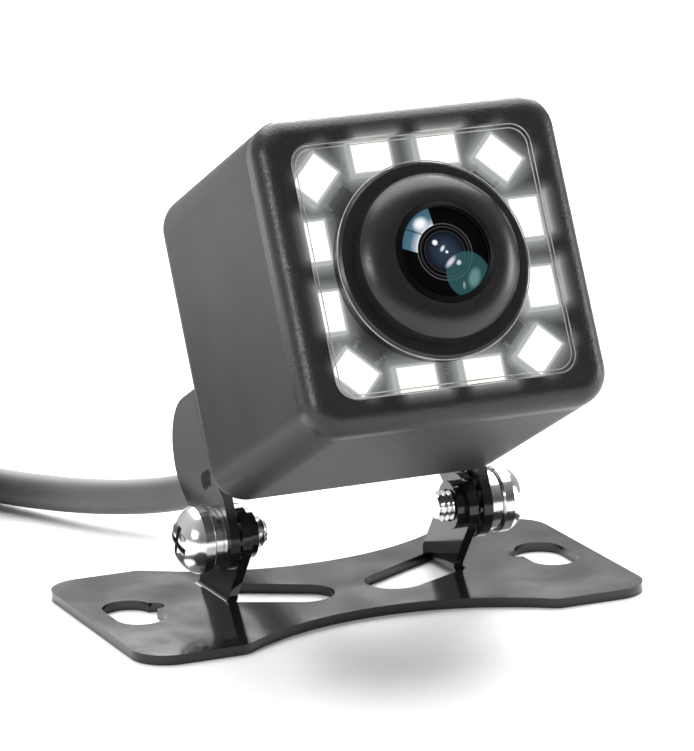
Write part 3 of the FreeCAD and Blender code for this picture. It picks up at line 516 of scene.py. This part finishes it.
# ---- the lit window: the LEDs' halo, painted as emission on the surfaces near them, falls off with the distance from each lit rectangle ---
LED_EDGE, LED_PAIR, LED_CORNER = 8.85, 2.75, 7.65
LIT_L, LIT_W = 3.05, 2.3
HALF_ROOT = math.sqrt(0.5)


def length_of(t, a, b):
    return t.math("SQRT", t.math("ADD", t.math("MULTIPLY", a, a), t.math("MULTIPLY", b, b)))


def rectangle_distance(t, along, across, half_l, half_w):
    """How far a point is outside a rectangle about the origin."""
    a = t.math("MAXIMUM", t.math("SUBTRACT", t.math("ABSOLUTE", along), half_l), 0.0)
    b = t.math("MAXIMUM", t.math("SUBTRACT", t.math("ABSOLUTE", across), half_w), 0.0)
    return length_of(t, a, b)


def led_distance(t):
    """Millimetres from the shading point to the nearest lit rectangle, along the board."""
    x, _, z = t.split(t.head_place())
    ax = t.math("ABSOLUTE", x)
    az = t.math("ABSOLUTE", z)
    far = t.math("MAXIMUM", ax, az)
    near = t.math("MINIMUM", ax, az)
    side = rectangle_distance(t, t.math("SUBTRACT", near, LED_PAIR), t.math("SUBTRACT", far, LED_EDGE),
                              LIT_L / 2, LIT_W / 2)
    dx = t.math("SUBTRACT", ax, LED_CORNER)
    dz = t.math("SUBTRACT", az, LED_CORNER)
    out = t.math("MULTIPLY", t.math("ADD", dx, dz), HALF_ROOT)
    over = t.math("MULTIPLY", t.math("SUBTRACT", dx, dz), HALF_ROOT)
    corner = rectangle_distance(t, over, out, LIT_L / 2, LIT_W / 2)
    return t.math("MINIMUM", side, corner)


GLOW_REACH = 3.0


def glowing(t, tone, rough, stops, normal=None, **sockets):
    """A surface near the LEDs, with their halo painted on it as emission."""
    glow = t.ramp(t.math("DIVIDE", led_distance(t), GLOW_REACH), stops)
    shader = principled(t, tone, rough, normal=normal, Emission_Strength=1.0, **sockets)
    t.put(shader.node.inputs["Emission Color"], glow)
    return shader


# The LEDs' halo, painted as emission on the board and the LED cases, by the distance over GLOW_REACH
BOARD_PAINTED_HALO = [(0.0, 0.62), (0.05, 0.45), (0.12, 0.32), (0.28, 0.16), (0.5, 0.05), (0.8, 0.01), (1.0, 0.0)]


def board_lit(t):
    place = t.place()
    tracks = t.noise(place, 1.2 * MM, 3)
    tone = t.mix(tracks, (0.03, 0.034, 0.036), (0.06, 0.068, 0.07))
    t.output(glowing(t, tone, 0.3, BOARD_PAINTED_HALO))


def led_case(t):
    fine = t.noise(t.place(), 0.3 * MM, 2)
    tone = t.mix(fine, (0.10, 0.105, 0.11), (0.16, 0.165, 0.17))
    t.output(glowing(t, tone, 0.3, BOARD_PAINTED_HALO))


def led_lit(t):
    fine = t.noise(t.place(), 0.25 * MM, 2)
    tone = t.mix(fine, (1.0, 0.97, 0.84), (1.0, 0.98, 0.89))
    shader = principled(t, (0.9, 0.88, 0.8), 0.5, Emission_Strength=0.9)
    t.put(shader.node.inputs["Emission Color"], tone)
    t.output(shader)


def resistor(t):
    fine = t.noise(t.place(), 0.2 * MM, 2)
    tone = t.mix(fine, (0.03, 0.03, 0.032), (0.06, 0.06, 0.062))
    # The LEDs' halo painted on the resistors as emission
    t.output(glowing(t, tone, 0.3, [(0.0, 0.2), (0.2, 0.1), (0.5, 0.03), (1.0, 0.0)]))


def pale_print_and_glow(t):
    fine = t.noise(t.place(), 0.25 * MM, 2)
    tone = t.mix(fine, (0.10, 0.10, 0.105), (0.3, 0.3, 0.31))
    # Printed marks and solder, with the LEDs' halo painted on as emission, faintly even far from them
    t.output(glowing(t, tone, 0.35, [(0.0, 0.40), (0.15, 0.20), (0.4, 0.08), (1.0, 0.03)]))


WINDOW_MIRROR = 0.025


def clear_window(t):
    """Clear plastic: what is behind it shows, with a fixed faint share of mirrored room."""
    haze = t.noise(t.place(), 2 * MM, 2)
    clear = t.node("ShaderNodeBsdfTransparent")
    clear.inputs[0].default_value = (0.96, 0.975, 0.975, 1)
    gloss = t.node("ShaderNodeBsdfGlossy")
    t.join(t.range(haze, 0.3, 0.7, 0.02, 0.05), gloss.inputs["Roughness"])
    gloss.inputs["Color"].default_value = (0.9, 0.9, 0.9, 1)
    both = t.node("ShaderNodeMixShader")
    both.inputs[0].default_value = WINDOW_MIRROR
    t.join(clear.outputs[0], both.inputs[1])
    t.join(gloss.outputs[0], both.inputs[2])
    t.output(both.outputs[0])


def sand_black(t):
    """Moulded black with a fine sand texture, with the LEDs' spill along the window painted on as emission.
    """
    place = t.place()
    broad = t.noise(place, 9 * MM, 2)
    sand = t.noise(place, 0.22 * MM, 2, 0.5)
    tone = t.ramp(broad, [(0.3, 0.010), (0.7, 0.016)])
    normal = t.bump(sand, 0.5, 0.06 * MM)
    painted_spill = [(0.0, 0.35), (0.06, 0.20), (0.17, 0.07), (0.32, 0.012), (0.45, 0.0)]
    rough = t.range(sand, 0.3, 0.7, 0.30, 0.42)
    t.output(glowing(t, tone, rough, painted_spill, normal=normal, Specular_IOR_Level=0.5))


dress(board_lit, "led_board_lit", "led_board")
dress(led_case, "led_case", "led_packages")
dress(led_lit, "led_phosphor", "led_phosphors")
dress(resistor, "resistor_black", "led_resistors")
dress(clear_window, "clear_window", "led_window")
dress(sand_black, "sand_black", "front_bezel")


# ---- fine pieces in the window -----------------------------------------------------------------------
WINDOW_FRONT_Y = 0.3
BOARD_Y = 2.3
PALE_PRINT_AND_GLOW = material("pale_print_and_glow", pale_print_and_glow)


def head_mesh(name, build, body, made_of, smooth=False):
    """A mesh built in the head frame, in millimetres, by build(bmesh)."""
    mesh = bmesh.new()
    build(mesh)
    bmesh.ops.transform(mesh, matrix=HEAD_TO_WORLD @ Matrix.Scale(MM, 4), verts=mesh.verts)
    bmesh.ops.recalc_face_normals(mesh, faces=mesh.faces)
    data = bpy.data.meshes.new(name)
    mesh.to_mesh(data)
    mesh.free()
    if smooth:
        data.polygons.foreach_set("use_smooth", [True] * len(data.polygons))
    obj = mesh_object(name, data, body, made_of)
    return obj


def rounded_square(half, corner, steps=10):
    """A closed loop of (x, z) round a square with rounded corners."""
    points = []
    for k in range(4):
        for i in range(steps + 1):
            angle = math.pi / 2 * (k + i / steps)
            sx = 1 if k in (0, 3) else -1
            sz = 1 if k in (0, 1) else -1
            points.append((sx * (half - corner) + corner * math.cos(angle),
                           sz * (half - corner) + corner * math.sin(angle)))
    return points


def loop_tube(mesh, points, y, radius, sides=6):
    """A thin closed tube along a loop of (x, z) at depth y."""
    count = len(points)
    rings = []
    for i, (x, z) in enumerate(points):
        ahead = Vector(points[(i + 1) % count]) - Vector(points[i - 1])
        ahead.normalize()
        across = Vector((ahead.y, 0, -ahead.x))
        ring = []
        for k in range(sides):
            a = 2 * math.pi * k / sides
            offset = across * (radius * math.cos(a)) + Vector((0, radius * math.sin(a), 0))
            ring.append(mesh.verts.new((x + offset.x, y + offset.y, z + offset.z)))
        rings.append(ring)
    for near, far in zip(rings, rings[1:] + rings[:1]):
        for k in range(sides):
            mesh.faces.new((near[k], near[(k + 1) % sides], far[(k + 1) % sides], far[k]))


def slab(mesh, cx, cz, turn, along, across, y0, y1, at=(0, 0)):
    """A small block at (cx, cz), turned about y, with its middle moved by at in its own directions."""
    c, s = math.cos(math.radians(turn)), math.sin(math.radians(turn))
    corners = []
    for y in (y0, y1):
        for u, v in ((-along, -across), (along, -across), (along, across), (-along, across)):
            u, v = u / 2 + at[0], v / 2 + at[1]
            corners.append(mesh.verts.new((cx + u * c - v * s, y, cz + u * s + v * c)))
    for face in ((0, 1, 2, 3), (7, 6, 5, 4), (0, 4, 5, 1), (1, 5, 6, 2), (2, 6, 7, 3), (3, 7, 4, 0)):
        mesh.faces.new([corners[i] for i in face])


def frame_lines(mesh, cx, cz, turn, along, across, width=0.055, at=(0, 0)):
    """A printed outline on the board, as four thin strips."""
    top = BOARD_Y - 0.03
    for side in (-1, 1):
        slab(mesh, cx, cz, turn, along, width, top, BOARD_Y + 0.01, (at[0], at[1] + side * across / 2))
        slab(mesh, cx, cz, turn, width, across, top, BOARD_Y + 0.01, (at[0] + side * along / 2, at[1]))


RESISTOR_CORNER = 6.25
RESISTOR_OUTLINE = (3.3, 1.7)
CORNER_OUTLINE, EDGE_OUTLINE = (3.85, 3.1), (3.9, 3.1)
OUTLINE_INSET = 0.05
SOLDER_T = 0.28
# The stray small parts' outlines: x, z, turn, length, width
SMALL_OUTLINES = [
    (-5.0, 8.1, 8, 0.9, 1.2),
    (-8.6, -5.2, 0, 1.1, 0.8),
    (0.1, -8.9, 0, 0.8, 1.7),
    (5.35, -9.1, 20, 0.8, 1.0),
]
# Their solder ends: x, z
SMALL_ENDS = [(-5.0, 8.45), (-5.0, 7.75), (-8.9, -5.2), (-8.3, -5.2), (0.1, -8.4), (0.1, -9.4), (5.3, -9.3)]


def build_marks(mesh):
    for sx in (-1, 1):
        for sz in (-1, 1):
            turn = -45 * sx * sz
            frame_lines(mesh, sx * RESISTOR_CORNER, sz * RESISTOR_CORNER, turn, *RESISTOR_OUTLINE)
            frame_lines(mesh, sx * LED_CORNER, sz * LED_CORNER, turn, *CORNER_OUTLINE)
    outer = LED_EDGE - OUTLINE_INSET
    for edge in (-1, 1):
        for pair in (-1, 1):
            frame_lines(mesh, pair * LED_PAIR, edge * outer, 0, *EDGE_OUTLINE)
            frame_lines(mesh, edge * outer, pair * LED_PAIR, 90, *EDGE_OUTLINE)
    for outline in SMALL_OUTLINES:
        frame_lines(mesh, *outline)


def build_solder(mesh):
    foot = BOARD_Y + 0.01
    for sx in (-1, 1):
        for sz in (-1, 1):
            for side in (-1, 1):
                slab(mesh, sx * RESISTOR_CORNER, sz * RESISTOR_CORNER, -45 * sx * sz, 0.32, 1.1,
                     BOARD_Y - SOLDER_T, foot, (side * 1.02, 0))
    for x, z in SMALL_ENDS:
        slab(mesh, x, z, 0, 0.4, 0.3, BOARD_Y - 0.3, foot)


head_mesh("board_marks", build_marks, "head", PALE_PRINT_AND_GLOW)
head_mesh("board_solder", build_solder, "head", PALE_PRINT_AND_GLOW)


def rim_painted_highlight(t):
    """The bright line that a moulded edge of the clear window shows, as a painted highlight: a pale tube
    that gives off light.
    """
    fine = t.noise(t.place(), 2.5 * MM, 3)
    tone = t.ramp(fine, [(0.3, 0.25), (0.7, 0.5)])
    glow = t.ramp(fine, [(0.35, 0.02), (0.7, 0.16)])
    shader = principled(t, tone, 0.1, Emission_Strength=1.0)
    t.put(shader.node.inputs["Emission Color"], glow)
    t.output(shader)


def circle(radius, count=96):
    return [(radius * math.cos(2 * math.pi * i / count), radius * math.sin(2 * math.pi * i / count))
            for i in range(count)]


# The window's moulded edges: the half width and corner radius of two squares, and the round hole's radius
OUTER_RIM, INNER_RIM, HOLE_RIM_R = (9.92, 1.62), (9.60, 1.40), 7.80
RIM_R, INNER_RIM_R = 0.05, 0.045


def build_rims(mesh):
    loop_tube(mesh, rounded_square(*OUTER_RIM), WINDOW_FRONT_Y, RIM_R)
    loop_tube(mesh, rounded_square(*INNER_RIM), WINDOW_FRONT_Y, INNER_RIM_R)
    loop_tube(mesh, circle(HOLE_RIM_R), WINDOW_FRONT_Y, RIM_R)


RIM = material("rim_painted_highlight", rim_painted_highlight)
head_mesh("window_rims", build_rims, "head", RIM, smooth=True)


# ---- the lens group, turned about the lens axis ---------------------------------------------------------
def lathe(mesh, profile, count=128):
    """Turns (radius, y) points about the lens axis. A radius of 0 closes the shape there."""
    rings = []
    for radius, y in profile:
        if radius < 1e-6:
            rings.append([mesh.verts.new((0, y, 0))])
        else:
            rings.append([mesh.verts.new((radius * math.cos(a), y, radius * math.sin(a)))
                          for a in (2 * math.pi * i / count for i in range(count))])
    for near, far in zip(rings, rings[1:]):
        for i in range(count):
            j = (i + 1) % count
            if len(near) == 1:
                mesh.faces.new((near[0], far[j], far[i]))
            elif len(far) == 1:
                mesh.faces.new((near[i], near[j], far[0]))
            else:
                mesh.faces.new((near[i], near[j], far[j], far[i]))


def ellipse_mask(t, x, z, centre, radii, turn=0.0, soft=0.15):
    """1 inside an ellipse, fading to 0 over its rim."""
    c, s = math.cos(math.radians(turn)), math.sin(math.radians(turn))
    dx = t.math("SUBTRACT", x, centre[0])
    dz = t.math("SUBTRACT", z, centre[1])
    u = t.math("ADD", t.math("MULTIPLY", dx, c / radii[0]), t.math("MULTIPLY", dz, s / radii[0]))
    v = t.math("ADD", t.math("MULTIPLY", dx, -s / radii[1]), t.math("MULTIPLY", dz, c / radii[1]))
    return t.range(length_of(t, u, v), 1 - soft, 1 + soft, 1.0, 0.0, smooth=True)


def ring_mask(t, radius, at, width):
    gap = t.math("ABSOLUTE", t.math("SUBTRACT", radius, at))
    return t.range(gap, width * 0.5, width, 1.0, 0.0, smooth=True)


def side_of_line(t, x, z, start, end):
    """How far a point lies to the left of the line through two points."""
    dx, dz = end[0] - start[0], end[1] - start[1]
    size = math.hypot(dx, dz)
    a = t.math("MULTIPLY", t.math("SUBTRACT", x, start[0]), -dz / size)
    b = t.math("MULTIPLY", t.math("SUBTRACT", z, start[1]), dx / size)
    return t.math("ADD", a, b)


def line_mask(t, x, z, start, end, width):
    """1 close to the line through two points, on both sides of it."""
    gap = t.math("ABSOLUTE", side_of_line(t, x, z, start, end))
    return t.range(gap, width * 0.5, width, 1.0, 0.0)


def coated_front(t):
    """The front element: dark coated glass with its reflections painted on, as arcs and spots."""
    x, _, z = t.split(t.head_place())
    radius = length_of(t, x, z)
    # The bluish centre, with faint rings round it: painted reflections, given off as emission
    centre = t.ramp(t.math("DIVIDE", radius, 3.7), [
        (0.0, (0.030, 0.050, 0.085)), (0.22, (0.020, 0.032, 0.055)), (0.40, (0.006, 0.009, 0.016)),
        (0.46, (0.0008, 0.0008, 0.001)), (1.0, (0.0005, 0.0005, 0.0008))])
    colour = centre
    for at, width, grey in ((1.62, 0.05, 0.03), (1.95, 0.07, 0.035), (2.20, 0.05, 0.09), (3.62, 0.07, 0.20)):
        colour = t.mix(ring_mask(t, radius, at, width), colour, (grey, grey, grey * 1.15))
    # The painted reflection of a window: an arc at the upper left, between two rays, split by a dark bar
    upper = side_of_line(t, x, z, (-0.47, 2.12), (-0.59, 3.57))
    lower = side_of_line(t, x, z, (-2.13, 0.12), (-3.53, 0.70))
    bar = line_mask(t, x, z, (-1.50, 1.51), (-2.86, 2.13), 0.05)
    inside = t.math("MULTIPLY", t.range(radius, 2.17, 2.22), t.range(radius, 3.60, 3.54))
    between = t.math("MULTIPLY", t.range(upper, 0.0, 0.05), t.range(lower, 0.0, -0.05))
    reflection_wedge = t.math("MULTIPLY", inside, between)
    sheen = t.ramp(t.range(radius, 2.2, 3.55), [
        (0.0, (0.85, 0.88, 0.90)), (0.12, (0.42, 0.50, 0.56)),
        (0.45, (0.075, 0.16, 0.23)), (1.0, (0.045, 0.12, 0.18))])
    glare = ellipse_mask(t, x, z, (-1.53, 2.36), (0.52, 0.40), 30, 0.6)
    sheen = t.mix(glare, sheen, (0.95, 0.97, 1.0))
    sheen = t.mix(bar, sheen, (0.01, 0.02, 0.03))
    colour = t.mix(reflection_wedge, colour, sheen)
    # The teal ghost, a painted reflection at the lower right, with a paler heart
    ghost_reflection = t.math("MULTIPLY", ellipse_mask(t, x, z, (1.52, -1.93), (1.80, 1.80), 0, 0.02),
                  t.range(radius, 3.60, 3.54))
    heart = ellipse_mask(t, x, z, (1.98, -2.22), (0.42, 0.72), -28, 0.45)
    teal = t.mix(heart, (0.035, 0.12, 0.125), (0.20, 0.40, 0.40))
    crescent = ellipse_mask(t, x, z, (1.02, -2.72), (0.10, 0.26), -10, 0.5)
    teal = t.mix(crescent, teal, (0.35, 0.52, 0.52))
    colour = t.mix(t.math("MULTIPLY", ghost_reflection, 0.62), colour, teal)
    # Small painted glints along the axis
    for place, radii, turn, soft, tone in (
        ((-0.68, 0.79), (0.20, 0.20), 0, 0.35, (1.0, 1.0, 1.0)),
        ((-0.17, 0.27), (0.24, 0.12), 50, 0.6, (0.75, 0.78, 0.85)),
        ((0.13, -0.03), (0.11, 0.11), 0, 0.4, (0.95, 0.97, 1.0)),
        ((0.28, -0.82), (0.46, 0.17), 40, 0.7, (0.70, 0.66, 0.74)),
        ((0.93, -0.95), (0.19, 0.16), 40, 0.5, (0.60, 0.70, 0.74)),
    ):
        colour = t.mix(ellipse_mask(t, x, z, place, radii, turn, soft), colour, tone)
    shader = principled(t, 0.002, 0.03, Emission_Strength=1.0, Specular_IOR_Level=0.03)
    t.put(shader.node.inputs["Emission Color"], colour)
    t.output(shader)


LENS_R = 3.66
LENS_BACK_Y, LENS_RIM_Y, LENS_TOP_Y = -0.6, -1.86, -2.02


def dome(radius, rim_y, top_y, steps=14):
    """A shallow cap from its rim to the axis."""
    rise = rim_y - top_y
    ball = (radius * radius + rise * rise) / (2 * rise)
    points = []
    for i in range(steps + 1):
        r = radius * (1 - i / steps)
        points.append((r, top_y + ball - math.sqrt(ball * ball - r * r)))
    return points


LENS_PROFILE = [(0, LENS_BACK_Y), (LENS_R, LENS_BACK_Y)] + dome(LENS_R, LENS_RIM_Y, LENS_TOP_Y)
front_glass = head_mesh("front_glass", lambda mesh: lathe(mesh, LENS_PROFILE), "head",
                        material("coated_front", coated_front), smooth=True)
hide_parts("front_lens")


def coated_glass(t):
    fine = t.noise(t.place(), 3 * MM, 2)
    tone = t.mix(fine, (0.005, 0.008, 0.012), (0.01, 0.014, 0.02))
    t.output(principled(t, tone, 0.03, Coat_Weight=0.6, Coat_Roughness=0.02, IOR=1.6))


dress(coated_glass, "coated_glass",
      "second_lens", "third_lens", "rear_lens", "infrared_filter", "sensor_glass")
